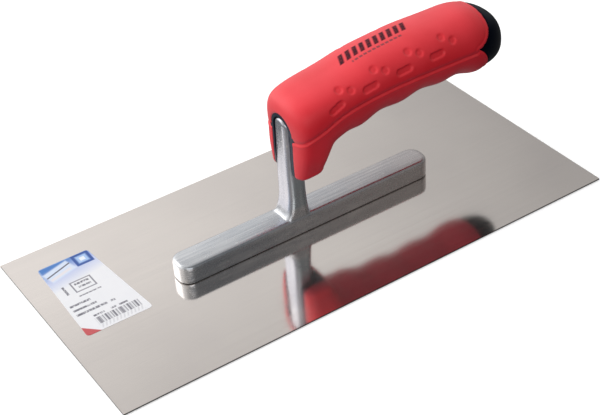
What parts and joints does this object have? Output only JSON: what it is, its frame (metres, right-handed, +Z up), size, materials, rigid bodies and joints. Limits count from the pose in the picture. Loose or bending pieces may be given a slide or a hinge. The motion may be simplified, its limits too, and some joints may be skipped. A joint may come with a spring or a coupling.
{
  "type": "finishing trowel",
  "caption": "Plasterer's finishing trowel: wide flat rectangular steel blade, cast foot bar and post, and a curved two-component soft grip with a slotted front.",
  "frame": {"origin": "centre of the blade's underside", "axes": "+X along the blade towards the butt of the handle, +Y across the blade, +Z up through the handle"},
  "size_m": [0.28, 0.13, 0.0897],
  "materials": {
    "stainless_blade": "fine satin, semi-mirror",
    "rivet_metal": "ground flush",
    "cast_aluminium": "tumbled die casting",
    "hard_dark_plastic": "semi-gloss moulded",
    "red_soft_grip": "satin soft plastic",
    "label_film": "printed film"
  },
  "bodies": {
    "root": {"blade": "stainless_blade", "blade_rivets": "rivet_metal", "mounting_casting": "cast_aluminium", "handle_core": "hard_dark_plastic", "soft_grip": "red_soft_grip", "size_label": "label_film"}
  },
  "joints": []
}
